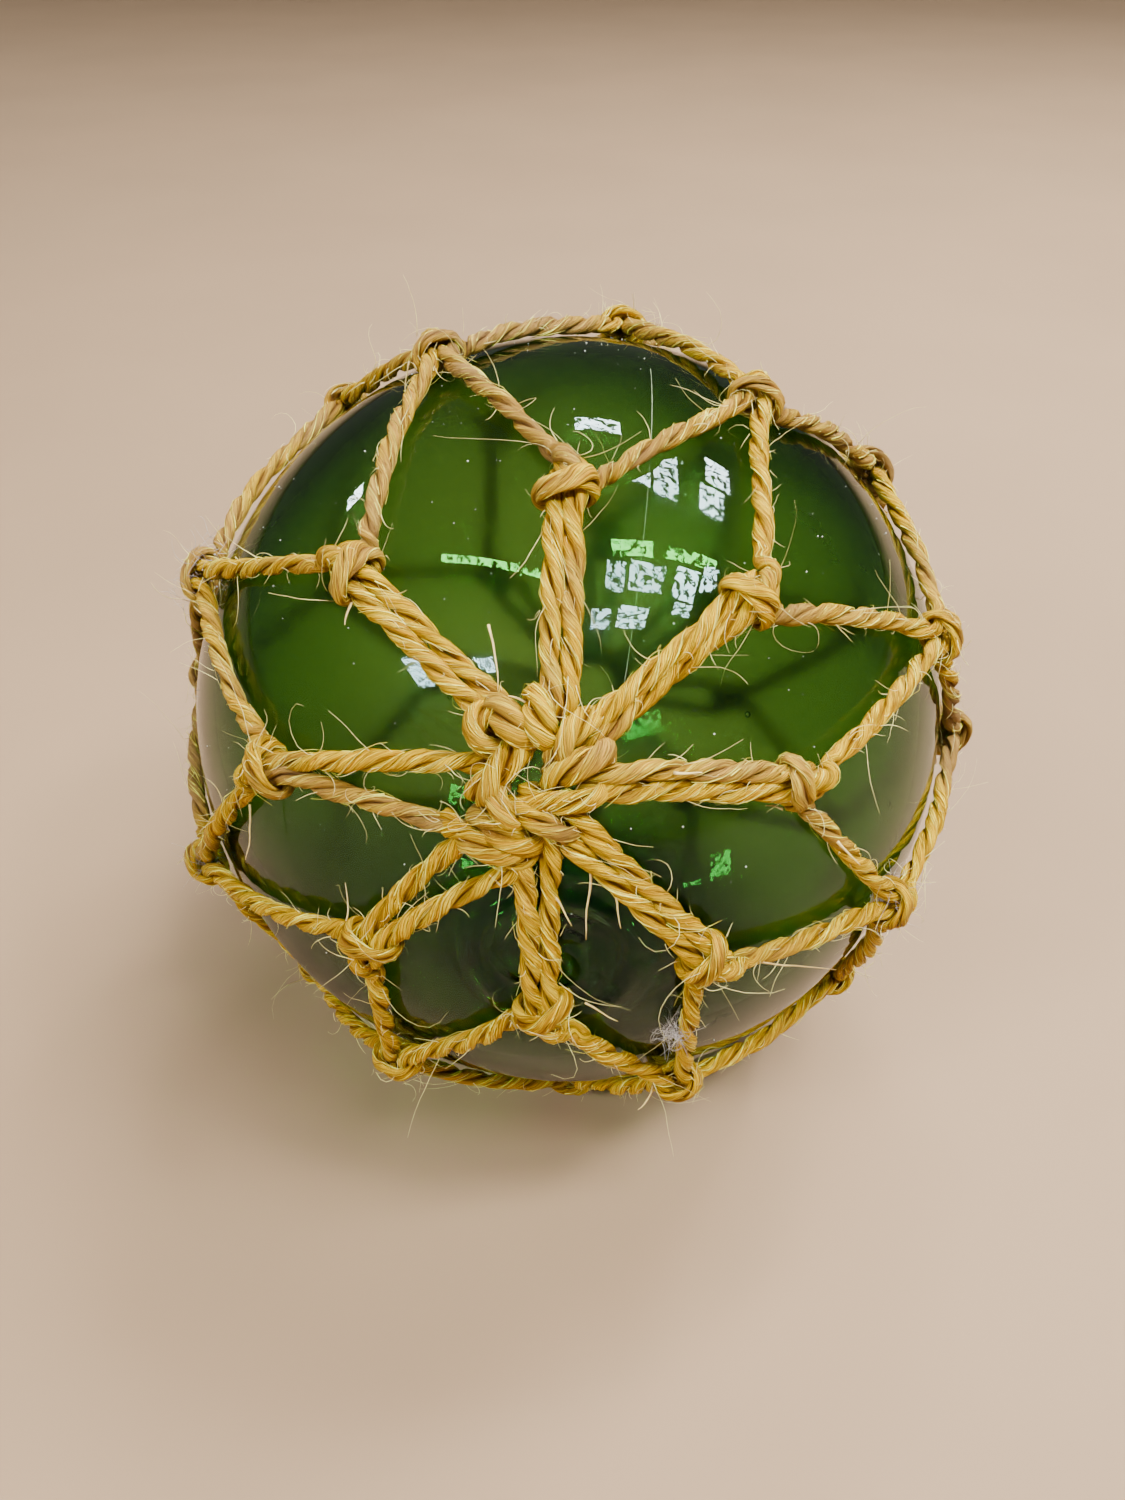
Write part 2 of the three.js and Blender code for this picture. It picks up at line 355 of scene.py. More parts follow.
def back_ring_route():
    """The ring that closes the net at the back: three rounds of cord, one in the other."""
    rows = []
    rounds, steps = 3, 14
    for i in range(rounds * steps):
        turn = math.tau * i / steps
        spread = 1.1 * math.sin(math.tau * i / (rounds * steps))
        lift = 2.9 + 1.1 * math.cos(math.tau * i / (rounds * steps))
        reach = 7.6 + spread
        out = near_pole(reach * math.cos(turn), reach * math.sin(turn), -1)
        rows.append(station(above(out, lift), BALL, 0.1))
    return np.array(rows)


def between(t, low, high, first, second):
    """What lies at t on the way from the first, at low, to the second, at high."""
    return (high - t) / (high - low) * first + (t - low) / (high - low) * second


def follow(stations, step, closed):
    """A smooth curve through the stations, sampled at even distances (metres)."""
    rows = np.asarray(stations)
    if closed:
        rows = np.vstack([rows[-1:], rows, rows[:2]])
    else:
        rows = np.vstack([2 * rows[0] - rows[1], rows, 2 * rows[-1] - rows[-2]])
    gaps = np.sqrt(np.linalg.norm(np.diff(rows[:, :3], axis=0), axis=1)) + 1e-6
    knots = np.concatenate([[0], np.cumsum(gaps)])
    dense = []
    for i in range(1, len(rows) - 2):
        t = np.linspace(knots[i], knots[i + 1], 24, endpoint=False)[:, None]
        t0, t1, t2, t3 = knots[i - 1:i + 3]
        p0, p1, p2, p3 = rows[i - 1:i + 3]
        a1, a2 = between(t, t0, t1, p0, p1), between(t, t1, t2, p1, p2)
        a3 = between(t, t2, t3, p2, p3)
        b1, b2 = between(t, t0, t2, a1, a2), between(t, t1, t3, a2, a3)
        dense.append(between(t, t1, t2, b1, b2))
    dense.append(rows[-2][None])
    dense = np.vstack(dense)
    reach = np.concatenate([[0], np.cumsum(np.linalg.norm(np.diff(dense[:, :3], axis=0), axis=1))])
    count = max(4, int(round(reach[-1] / step)))
    even = np.linspace(0, reach[-1], count, endpoint=not closed)
    return np.stack([np.interp(even, reach, dense[:, k]) for k in range(7)], axis=1), reach[-1]


# Meshes


STRAND_SIDES = 12

# The cords and strands laid so far, for the fibres that stand out of them or lie along them.
CORD_PATHS = []
STRANDS = []


class MeshParts:
    """Vertices, faces, lay coordinates and per-point values gathered for one mesh."""

    def __init__(self):
        self.points, self.faces, self.lays, self.values = [], [], [], {}
        self.count = 0

    def add(self, points, faces, lays=None, **values):
        """Takes in one more shell or thread."""
        self.faces.extend([[i + self.count for i in face] for face in faces])
        self.points.append(points)
        self.lays.extend(lays or [])
        for name, value in values.items():
            self.values.setdefault(name, []).append(np.broadcast_to(value, len(points)))
        self.count += len(points)

    def build(self, name, material):
        """Makes the mesh object and puts it in the scene."""
        mesh = bpy.data.meshes.new(name)
        mesh.from_pydata(np.vstack(self.points).tolist(), [], self.faces)
        if self.lays:
            layer = mesh.uv_layers.new(name="lay")
            layer.data.foreach_set("uv", np.array(self.lays, dtype=np.float32).ravel())
        for key, parts in self.values.items():
            attribute = mesh.attributes.new(key, "FLOAT", "POINT")
            attribute.data.foreach_set("value", np.concatenate(parts).astype(np.float32))
        mesh.validate()
        mesh.shade_smooth()
        mesh.materials.append(material)
        piece = bpy.data.objects.new(name, mesh)
        bpy.context.scene.collection.objects.link(piece)
        return piece


def twisted_cord(parts, stations, rng, closed, sizes, fat):
    """Adds a cord of two strands laid left-handed about each other along a route."""
    rows, length = follow(stations, sizes.step, closed)
    path, round_what, flat = rows[:, :3], rows[:, 3:6], np.clip(rows[:, 6], 0, 1)
    count, sides = len(rows), STRAND_SIDES
    if closed:
        along = unit(np.roll(path, -1, axis=0) - np.roll(path, 1, axis=0))
    else:
        along = unit(np.gradient(path, axis=0))
    out = path - round_what
    out = unit(out - along * np.sum(out * along, axis=1, keepdims=True))
    for _ in range(3):
        near = (np.roll(out, 1, axis=0) + np.roll(out, -1, axis=0)) * 0.5
        out = unit(out + (near if closed else np.vstack([out[:1], near[1:-1], out[-1:]])))
    out = unit(out - along * np.sum(out * along, axis=1, keepdims=True))
    side = np.cross(along, out)
    reach = np.arange(count) * (length / count)
    turns = length / sizes.lay
    turns = max(1, round(turns)) if closed else turns
    radius = sizes.cord / 2 * fat
    tight = (1 - 0.1 * flat)[:, None]
    start = rng.uniform(0, math.tau)
    unrest = 0.35 * wander(rng, count, 20, closed)
    path = path + (out * wander(rng, count, 22, closed)[:, None] * 0.05
                   + side * wander(rng, count, 18, closed)[:, None] * 0.16) * MM
    brown_shift = 0.4 * wander(np.random.default_rng(count), count, 30, closed)
    for strand in range(2):
        angle = start + strand * math.pi - math.tau * turns * reach / length + unrest
        swell = wander(rng, count, 11, closed) * 0.16 + 1
        middle = 0.44 * radius * (1 + 0.12 * wander(rng, count, 16, closed)[:, None])
        half_out, half_side = 0.50 * radius * swell, 0.70 * radius * swell
        ridge = np.stack([wander(rng, count, 7, closed) for _ in range(sides)], axis=1) * 0.15 + 1
        roll = math.tau * np.arange(sides) / sides + 0.25 * np.sin(angle)[:, None]
        radial = (middle + half_out[:, None] * np.cos(roll) * ridge) * tight
        round_ = half_side[:, None] * np.sin(roll) * ridge * tight
        c, s = np.cos(angle)[:, None], np.sin(angle)[:, None]
        up = (radial * c - round_ * s) * (1 - 0.36 * flat[:, None])
        across = (radial * s + round_ * c) * (1 + 0.38 * flat[:, None])
        points = path[:, None] + out[:, None] * up[..., None] + side[:, None] * across[..., None]
        depth = np.clip(1 - np.hypot(up, across) / radius, 0, 1)
        points = settled(points.reshape(-1, 3))
        STRANDS.append((points.reshape(count, sides, 3), depth))
        faces, lays = tube_faces(count, sides, closed, reach, rng.uniform(0, 50), 6.0 * radius)
        parts.add(points, faces, lays, depth=depth.ravel(),
                  tone=tones(points, rng) + np.repeat(brown_shift, sides))
    CORD_PATHS.append((path, out, side))


def settled(points):
    """Points kept off the surface that the float lies on and out of the glass."""
    points = points.copy()
    points[:, 2] = np.maximum(points[:, 2], 0.02 * MM)
    from_ball = points - BALL
    reach = np.linalg.norm(from_ball, axis=1, keepdims=True)
    least = (GLASS_RADIUS + 0.03) * MM
    low = reach < least
    return np.where(low & (points[:, 2:] > 0.05 * MM), BALL + from_ball * (least / reach), points)


def wander(rng, count, spacing, closed):
    """A smooth random value along a cord, between about -1 and 1."""
    marks = rng.normal(0, 0.6, max(4, count // spacing + 1))
    if closed:
        marks[-1] = marks[0]
    return np.interp(np.linspace(0, len(marks) - 1, count), np.arange(len(marks)), marks)


def tube_faces(count, sides, closed, reach, shift, girth):
    """Faces of a tube of rings of points, with lay coordinates: round it and along it, mm."""
    faces, lays = [], []
    step = reach[1] - reach[0]
    for i in range(count if closed else count - 1):
        j = (i + 1) % count
        v0, v1 = (i * step) / MM + shift, ((i + 1) * step) / MM + shift
        for k in range(sides):
            m = (k + 1) % sides
            faces.append([i * sides + k, i * sides + m, j * sides + m, j * sides + k])
            u0, u1 = k / sides * girth / MM, (k + 1) / sides * girth / MM
            lays.extend([(u0, v0), (u1, v0), (u1, v1), (u0, v1)])
    if not closed:
        faces.append(list(range(sides))[::-1])
        faces.append(list(range((count - 1) * sides, count * sides)))
        lays.extend([(0.0, shift)] * sides * 2)
    return faces, lays


def tones(points, rng):
    """How brown the cord is made at each point, from -1, palest, to 1, brownest: more towards the
    top and the back of the ball and in a patch at each side of it, with a little at random.
    """
    side = (points[:, 0] - BALL[0]) / (GLASS_RADIUS * MM)
    height = (points[:, 2] - BALL[2]) / (GLASS_RADIUS * MM)
    back = (points[:, 1] - BALL[1]) / (GLASS_RADIUS * MM)
    tone = 0.25 * height + 0.2 * np.clip(back, -0.5, 1) + rng.uniform(-0.1, 0.1)
    tone += 0.9 * np.exp(-((side + 1.02) / 0.12) ** 2 - ((height - 0.1) / 0.3) ** 2)
    tone += 0.6 * np.exp(-((side - 1.02) / 0.1) ** 2 - ((height - 0.2) / 0.25) ** 2)
    return tone


# Materials


GLASS_INDEX = 1.32  # below real glass, or the floor's reflection greys its lower half
GLASS_DENSITY = 590.0  # how fast light takes on the glass's colour
INNER_ROUGHNESS = 0.19  # the blown inside is dull, so what shows through it is soft


def new_material(name, values):
    """A material with its node tree and its main shader, whose plain values are set."""
    material = bpy.data.materials.new(name)
    material.use_nodes = True
    tree = material.node_tree
    shader = next(node for node in tree.nodes if node.type == "BSDF_PRINCIPLED")
    for key, value in values.items():
        shader.inputs[key].default_value = value
    return material, tree, shader


def add_node(tree, kind, inputs=None, **settings):
    """A node with its settings made, and its inputs linked or given their values."""
    node = tree.nodes.new("ShaderNode" + kind)
    for key, value in settings.items():
        setattr(node, key, value)
    for key, value in (inputs or {}).items():
        if isinstance(value, bpy.types.NodeSocket):
            tree.links.new(value, node.inputs[key])
        else:
            node.inputs[key].default_value = value
    return node


def ramp(tree, factor, stops):
    """A run of colours, each at its place from 0 to 1."""
    node = add_node(tree, "ValToRGB", {"Fac": factor})
    elements = node.color_ramp.elements
    while len(elements) < len(stops):
        elements.new(0.5)
    for element, (place, colour) in zip(elements, stops):
        element.position = place
        element.color = (*colour, 1)
    return node.outputs["Color"]


def noise(tree, vector, scale, detail, **more):
    """Soft random values, about 0.5, with the finer of them mixed in by detail."""
    inputs = {"Vector": vector, "Scale": scale, "Detail": detail, **more}
    return add_node(tree, "TexNoise", inputs).outputs["Fac"]


def ranged(tree, value, low, high, to_low=0.0, to_high=1.0):
    """A value spread from one range to another and kept inside it."""
    inputs = {"Value": value, "From Min": low, "From Max": high,
              "To Min": to_low, "To Max": to_high}
    return add_node(tree, "MapRange", inputs).outputs["Result"]


def relief(tree, height, strength, depth, **more):
    """Fine relief of a depth in millimetres, on top of any relief that is there already."""
    inputs = {"Height": height, "Strength": strength, "Distance": depth * MM, **more}
    return add_node(tree, "Bump", inputs).outputs["Normal"]


def stretched(tree, vector, scale):
    """Coordinates scaled by a different amount each way."""
    return add_node(tree, "Mapping", {"Vector": vector, "Scale": scale}).outputs["Vector"]


def fibre_cells(tree, lay, scale, feature):
    """Long narrow cells, one for each fibre, from the lay coordinates."""
    inputs = {"Vector": stretched(tree, lay, scale), "Scale": 1.0}
    return add_node(tree, "TexVoronoi", inputs, voronoi_dimensions="2D", feature=feature)


def cord_material(name, colours):
    """Natural-fibre strand: bundles of long fibres, pale and golden, with painted shade in the gaps
    between the fibres and deep between the strands.
    """
    material, tree, shader = new_material(name, {
        "Roughness": 0.55, "Specular IOR Level": 0.2, "Specular Tint": (1.0, 0.72, 0.25, 1)})
    lay = add_node(tree, "UVMap", uv_map="lay").outputs["UV"]
    warp = add_node(tree, "TexNoise", {
        "Vector": lay, "Scale": 0.35, "Detail": 2.0}).outputs["Color"]
    shifted = add_node(tree, "VectorMath", {0: warp, 1: (1.6, 0.0, 0.0)},
                       operation="MULTIPLY").outputs["Vector"]
    lay = add_node(tree, "VectorMath", {0: lay, 1: shifted}).outputs["Vector"]
    bundle = fibre_cells(tree, lay, (2.2, 0.10, 1), "F1")
    bundle_edge = fibre_cells(tree, lay, (2.2, 0.10, 1), "DISTANCE_TO_EDGE")
    thread = fibre_cells(tree, lay, (6.0, 0.15, 1), "F1")
    thread_edge = fibre_cells(tree, lay, (6.0, 0.15, 1), "DISTANCE_TO_EDGE")
    shade_1 = add_node(tree, "SeparateColor", {"Color": bundle.outputs["Color"]})
    shade_2 = add_node(tree, "SeparateColor", {"Color": thread.outputs["Color"]})
    both = add_node(tree, "Mix", {
        0: 0.65, 2: shade_1.outputs[0], 3: shade_2.outputs[0]}).outputs[0]
    base = ramp(tree, both, (
        (0.06, tuple(0.5 * c for c in colours.fibre)), (0.36, tuple(colours.fibre)),
        (0.66, tuple(colours.fibre_light)),
        (0.92, tuple(0.85 * c + 0.15 * p for c, p in zip(colours.fibre_light, (1, 0.95, 0.4))))))
    # Painted shade: the gaps between the bundles and between the threads are darkened.
    crack_1 = ranged(tree, bundle_edge.outputs["Distance"], 0.0, 0.07)
    crack_2 = ranged(tree, thread_edge.outputs["Distance"], 0.0, 0.15, 0.18)
    open_ = add_node(tree, "Math", {0: crack_1, 1: crack_2}, operation="MULTIPLY").outputs[0]
    gaps_painted_shade = mix(tree, open_, tuple(1.5 * c for c in colours.painted_fibre_shade), base)
    # Painted shade: the strands darken where they lie deep in the cord, against each other.
    depth = add_node(tree, "Attribute", attribute_name="depth").outputs["Fac"]
    shaded = mix(tree, ranged(tree, depth, 0.2, 0.7), gaps_painted_shade, tuple(colours.painted_fibre_shade))
    place = add_node(tree, "TexCoord").outputs["Object"]
    blotch = noise(tree, place, 90.0, 3.0)
    # Browner in random blotches and where the tone is higher: towards the top, the back and both
    # sides of the ball.
    tone = add_node(tree, "Attribute", attribute_name="tone").outputs["Fac"]
    brown_amount = add_node(tree, "Math", {0: blotch, 1: tone}, operation="ADD").outputs[0]
    brown_shift = ranged(tree, brown_amount, 0.45, 1.15, 0.0, 0.85)
    browned = mix(tree, brown_shift, shaded, (0.36, 0.20, 0.075))
    tree.links.new(browned, shader.inputs["Base Color"])
    coarse = relief(tree, crack_1, 1.0, 0.25)
    fine = relief(tree, crack_2, 1.0, 0.18, Normal=coarse)
    tree.links.new(fine, shader.inputs["Normal"])
    return material


def mix(tree, factor, first, second):
    """A colour between two, each a socket or a plain colour."""
    node = add_node(tree, "Mix", data_type="RGBA")
    sockets = [socket for socket in node.inputs if socket.enabled]
    for socket, value in zip(sockets, (factor, first, second)):
        if isinstance(value, bpy.types.NodeSocket):
            tree.links.new(value, socket)
        else:
            socket.default_value = (*value, 1)
    return next(socket for socket in node.outputs if socket.enabled)


def glass_material(colours):
    """Clear bottle-green glass with faint waves and scratches on its surface."""
    material, tree, shader = new_material("bottle_green_glass", {
        "Base Color": (0.93, 1.0, 0.9, 1), "IOR": GLASS_INDEX,
        "Specular Tint": (0.62, 0.95, 0.97, 1), "Transmission Weight": 1.0})
    inside = add_node(tree, "VolumeAbsorption", {
        "Color": (*colours.glass, 1), "Density": GLASS_DENSITY})
    output = next(node for node in tree.nodes if node.type == "OUTPUT_MATERIAL")
    tree.links.new(inside.outputs["Volume"], output.inputs["Volume"])
    place = add_node(tree, "TexCoord").outputs["Object"]
    waves = noise(tree, place, 38.0, 1.5, Distortion=0.4)
    scratch = noise(tree, stretched(tree, place, (900.0, 60.0, 90.0)), 1.0, 2.0)
    sharp = ranged(tree, scratch, 0.70, 0.78)
    film = noise(tree, stretched(tree, place, (20.0, 45.0, 30.0)), 1.0, 5.0, Roughness=0.65)
    haze = ranged(tree, film, 0.52, 0.8, 0.008, 0.16)
    skin = add_node(tree, "Attribute", attribute_name="inner_skin").outputs["Fac"]
    rough = add_node(tree, "Math", {0: skin, 1: INNER_ROUGHNESS, 2: haze},
                     operation="MULTIPLY_ADD").outputs[0]
    tree.links.new(rough, shader.inputs["Roughness"])
    first = relief(tree, waves, 0.35, 0.35)
    second = relief(tree, sharp, 0.25, 0.02, Normal=first)
    tree.links.new(second, shader.inputs["Normal"])
    return material


def matt_material(name, colour, roughness, variation, scale):
    """A matt finish whose colour varies a little from place to place."""
    material, tree, shader = new_material(name, {"Roughness": roughness})
    place = add_node(tree, "TexCoord").outputs["Object"]
    blotch = noise(tree, place, scale, 3.0)
    darker = tuple(c * (1 - variation) for c in colour)
    lighter = tuple(min(1.0, c * (1 + variation)) for c in colour)
    varied = ramp(tree, blotch, ((0.35, darker), (0.65, lighter)))
    tree.links.new(varied, shader.inputs["Base Color"])
    return material


# The glass


SEAL_OUT = heading(*SEAL)
OUTSIDE_GRID = (200, 160)  # points in each ring, and rows from the seal to the far side
INSIDE_GRID = (130, 100)


def ball_faces(rounds, rings):
    """Faces of a closed ball of rings of points, whose two end points come last."""
    faces = []
    first_end = rings * rounds
    for i in range(rings - 1):
        for k in range(rounds):
            here, m = i * rounds, (k + 1) % rounds
            faces.append([here + k, here + rounds + k, here + rounds + m, here + m])
    for k in range(rounds):
        m = (k + 1) % rounds
        faces.append([k, m, first_end])
        faces.append([first_end - rounds + m, first_end - rounds + k, first_end + 1])
    return faces


def glass_grid(radius, rounds, rows, shape):
    """A closed ball of rings about the seal's axis, pushed in and out by a function."""
    side = unit(np.cross([0.0, 0.0, 1.0], SEAL_OUT))
    up = np.cross(SEAL_OUT, side)
    share = np.linspace(0, 1, rows + 1)[1:-1]
    away = math.pi * (0.55 * share ** 2 + 0.45 * share)
    turn = math.tau * np.arange(rounds) / rounds
    away, turn = np.meshgrid(away, turn, indexing="ij")
    out = (np.cos(away)[..., None] * SEAL_OUT
           + (np.sin(away) * np.cos(turn))[..., None] * side
           + (np.sin(away) * np.sin(turn))[..., None] * up)
    reach = radius + shape(away, turn, out)
    points = BALL + out * reach[..., None] * MM
    ends = []
    for pole_away, direction in ((0.0, SEAL_OUT), (math.pi, -SEAL_OUT)):
        spot = shape(np.array([pole_away]), np.array([0.0]), direction[None])
        ends.append(BALL + direction * (radius + spot[0]) * MM)
    return np.vstack([points.reshape(-1, 3), ends]), ball_faces(rounds, rows - 1)


def bump_at(distance, middle, width):
    """A smooth swelling from 0 to 1 and back about a distance."""
    return np.exp(-((distance - middle) / width) ** 2)


def outside_shape(away, turn, out):
    """The hand-blown outside: a little uneven, with the pressed seal and swirls round it."""
    spread = away * GLASS_RADIUS
    x, y, z = out[..., 0], out[..., 1], out[..., 2]
    uneven = 0.12 * np.sin(2.1 * x * 2 + 1) + 0.1 * np.sin(3.3 * z + 2 * y)
    disc = -0.55 * np.clip(1 - (spread / 9.5) ** 2, 0, 1)
    rim = 0.55 * bump_at(spread, 10.8, 1.3)
    swirl = 0.28 * bump_at(spread + 1.2 * turn / math.pi, 15.2, 1.1)
    swirl = swirl * (0.5 + 0.5 * np.cos(turn - 0.8))
    folds = 0.16 * np.sin(spread * 2.2 + 3 * turn) * bump_at(spread, 5.0, 4.0)
    return uneven * np.clip(spread / 20, 0, 1) + disc + rim + swirl + folds


def inside_shape(away, turn, out):
    """The inside: as uneven, and thick behind the seal where the gob closed the hole."""
    spread = away * GLASS_RADIUS
    x, y, z = out[..., 0], out[..., 1], out[..., 2]
    uneven = 0.34 * np.sin(4 * x + 2) + 0.3 * np.sin(3.7 * z - y)
    uneven += 0.16 * np.sin(9 * z + 5 * x + 1) * np.cos(7 * y)
    gob = -3.2 * bump_at(spread, 0.0, 8.0) - 0.9 * bump_at(spread, 11.0, 2.2)
    ripple = 0.35 * np.sin(spread * 1.5 + 2 * turn) * bump_at(spread, 6.0, 6.0)
    return uneven * np.clip(spread / 20, 0, 1) + gob + ripple


def small_ball(middle, radius, inwards):
    """A small eight-sided ball, for a bubble or a speck."""
    rings, rounds = 4, 8
    away = math.pi * np.arange(1, rings + 1) / (rings + 1)
    turn = math.tau * np.arange(rounds) / rounds
    away, turn = np.meshgrid(away, turn, indexing="ij")
    flat = np.sin(away)
    ball = np.stack([flat * np.cos(turn), flat * np.sin(turn), np.cos(away)], axis=-1)
    points = middle + np.vstack([ball.reshape(-1, 3), [[0, 0, 1], [0, 0, -1]]]) * radius
    faces = ball_faces(rounds, rings)
    if inwards:
        faces = [face[::-1] for face in faces]
    return points, faces


# Operators


def dressed(parts, name, material, slot, *nodes):
    """Makes a piece, says what it rides on and hides the parts that it stands for; its kind of
    finish, slot, is not used.
    """
    piece = parts.build(name, material)
    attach(piece, BODY)
    if nodes:
        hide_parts(*nodes)
    return piece


# Where the camera stands, how far down it looks (degrees), its lens and its film's width.
EYE = BALL + np.array([-0.98, -174.75, 127.93]) * MM
CAMERA_TILT = 38
CAMERA_LENS = 29.11
FILM_WIDTH = 36

FLOOR_HALF = 4.0  # metres from its middle to each side
ROOM_COLOUR = (1.0, 0.97, 0.93)
ROOM_STRENGTH = 0.105

# Panes of the skylight as they hang over the float: middle (x, y), width and depth, metres.
SKYLIGHT = 1.05
SKY_COLOUR = (0.92, 0.96, 1.0)
SKY_STRENGTH = (150, 260)  # watts a square metre, from the dullest to the brightest pane
PANES = (
    (0.21, -0.30, 0.09, 0.17), (0.37, -0.28, 0.19, 0.17), (0.60, -0.27, 0.15, 0.20),
    (0.75, -0.20, 0.11, 0.19), (0.16, -0.55, 0.10, 0.14), (0.33, -0.53, 0.17, 0.15),
    (0.62, -0.43, 0.12, 0.09), (0.42, 0.38, 0.12, 0.34), (0.28, 0.30, 0.13, 0.12),
    (0.15, 0.24, 0.09, 0.09), (0.68, 0.32, 0.15, 0.20), (0.72, 0.56, 0.16, 0.22),
    (0.12, 0.66, 0.20, 0.14), (-1.08, -0.86, 0.42, 0.36), (-0.58, -0.86, 0.16, 0.14),
    (-1.35, 0.95, 0.20, 0.16),
)

# Green strips beside the panes, for the light that the inside of the glass throws back: x, y,
# width and depth in metres, and how far they're turned, degrees.
GLINTS = (
    (0.28, -0.13, 0.20, 0.09, 8), (0.61, -0.10, 0.32, 0.08, 3),
    (-0.38, -0.19, 0.56, 0.045, -22),
)
GLINT_COLOUR = (0.26, 1.0, 0.14)
GLINT_STRENGTH = 190

# Green sparks that the far wall throws back to the front: where each shows on the glass, as
# elevation and bearing in degrees, and its width and height there.
SPARKS = (
    ((24.2, -13.9), 4.4, 4.4), ((16.4, -12.6), 2.4, 2.4), ((34.0, 9.8), 5.5, 2.8),
    ((15.3, 19.3), 2.6, 4.4), ((13.3, 15.2), 2.4, 2.0),
)
SPARK_REACH = 250  # from the glass to the lamp of a spark
SPARK_COLOUR = (0.06, 1.0, 0.09)
SPARK_STRENGTH = 46
SKY_LEAVES, SPARK_LEAVES = 26, 130  # how fine the leaves are that dapple them, to the metre


def add_spark(name, where, width, height, shift):
    """A small lamp that the camera sees as a spark at a place on the glass."""
    out = heading(*where)
    glass = above(out, 0)
    toward = EYE - glass
    grown = 1 + SPARK_REACH * (2 / GLASS_RADIUS + MM / np.linalg.norm(toward))
    toward = unit(toward)
    way = 2 * np.dot(out, toward) * out - toward
    width, height = width * grown * MM, height * grown * MM
    lamp = add_pane(name, 0, 0, width, height, SPARK_STRENGTH, shift, SPARK_LEAVES)
    lamp.data.color = SPARK_COLOUR
    lamp.location = glass + way * SPARK_REACH * MM
    lamp.rotation_euler = Vector(way).to_track_quat("Z", "Y").to_euler()
    lamp.visible_camera = False
    lamp.visible_transmission = False
    return lamp


def add_pane(name, x, y, width, depth, strength, shift, leaves=SKY_LEAVES):
    """One pane of the skylight, a lamp that looks straight down through leaves."""
    light = bpy.data.lights.new(name, "AREA")
    light.shape = "RECTANGLE"
    light.size, light.size_y = width, depth
    light.energy = width * depth * strength
    light.color = SKY_COLOUR
    light.use_nodes = True
    tree = light.node_tree
    where = add_node(tree, "NewGeometry").outputs["Parametric"]
    where = add_node(tree, "VectorMath", {
        0: where, 1: (width * leaves, depth * leaves, 1), 2: (3.7 * shift, 1.9 * shift, 0)},
        operation="MULTIPLY_ADD").outputs["Vector"]
    dapple = noise(tree, where, 0.9, 5.0, Roughness=0.65)
    bright = ranged(tree, dapple, 0.46, 0.53, 0.01, 2.1)
    emission = next(node for node in tree.nodes if node.type == "EMISSION")
    tree.links.new(bright, emission.inputs["Strength"])
    lamp = bpy.data.objects.new(name, light)
    lamp.location = (x, y, SKYLIGHT)
    bpy.context.scene.collection.objects.link(lamp)
    return lamp


class FLOAT_OT_camera(bpy.types.Operator):
    """Place the camera where it looks down on the float's crown"""

    bl_idname = "float.camera"
    bl_label = "Camera"

    def execute(self, context):
        camera = bpy.data.objects.new("camera", bpy.data.cameras.new("camera"))
        camera.data.sensor_width = FILM_WIDTH
        camera.data.lens = CAMERA_LENS
        camera.data.clip_start = 0.01
        camera.location = EYE
        camera.rotation_euler = (math.pi / 2 - math.radians(CAMERA_TILT), 0, 0)
        context.scene.collection.objects.link(camera)
        context.scene.camera = camera
        return {"FINISHED"}


class FLOAT_OT_stage(bpy.types.Operator):
    """Add the plain floor and the soft light"""

    bl_idname = "float.stage"
    bl_label = "Floor and Light"

    def execute(self, context):
        colours = context.scene.float_colours
        floor = MeshParts()
        corners = np.array([[-1, -1, 0], [1, -1, 0], [1, 1, 0], [-1, 1, 0]])
        floor.add(corners * FLOOR_HALF, [[0, 1, 2, 3]])
        finish = matt_material("pale_floor", tuple(colours.floor), 0.75, 0.03, 8.0)
        floor.build("floor", finish)
        rng = np.random.default_rng(3)
        for i, pane in enumerate(PANES):
            add_pane(f"skylight_{i}", *pane, rng.uniform(*SKY_STRENGTH), i)
        lit = bpy.data.collections.new("lit_by_glints")
        for i, (x, y, width, depth, turn) in enumerate(GLINTS):
            lamp = add_pane(f"glint_{i}", x, y, width, depth, GLINT_STRENGTH, 20 + i)
            lamp.data.color = GLINT_COLOUR
            lamp.rotation_euler = (0, 0, math.radians(turn))
            lamp.light_linking.receiver_collection = lit
        for i, (where, width, height) in enumerate(SPARKS):
            lamp = add_spark(f"spark_{i}", where, width, height, 30 + i)
            lamp.light_linking.receiver_collection = lit
        world = bpy.data.worlds.new("studio")
        world.use_nodes = True
        back = world.node_tree.nodes["Background"]
        back.inputs["Color"].default_value = (*ROOM_COLOUR, 1)
        back.inputs["Strength"].default_value = ROOM_STRENGTH
        context.scene.world = world
        return {"FINISHED"}


class FLOAT_OT_glass(bpy.types.Operator):
    """Blow the hollow ball with its seal and the seeds in its wall"""

    bl_idname = "float.glass"
    bl_label = "Glass Ball"

    def execute(self, context):
        scene = context.scene
        wall = scene.float_sizes.wall / MM
        parts = MeshParts()
        parts.add(*glass_grid(GLASS_RADIUS, *OUTSIDE_GRID, outside_shape), inner_skin=0.0)
        points, faces = glass_grid(GLASS_RADIUS - wall, *INSIDE_GRID, inside_shape)
        parts.add(points, [face[::-1] for face in faces], inner_skin=1.0)
        rng = np.random.default_rng(11)
        for _ in range(scene.float_sizes.seeds):
            out = unit(rng.normal(0, 1, 3))
            deep = rng.uniform(0.7, wall - 0.7)
            radius = min(0.45, rng.exponential(0.12) + 0.06)
            parts.add(*small_ball(above(out, -deep), radius * MM, True), inner_skin=0.0)
        material = glass_material(scene.float_colours)
        piece = dressed(parts, "float_glass", material, "green_glass", "glass_ball")
        bpy.data.collections["lit_by_glints"].objects.link(piece)
        return {"FINISHED"}


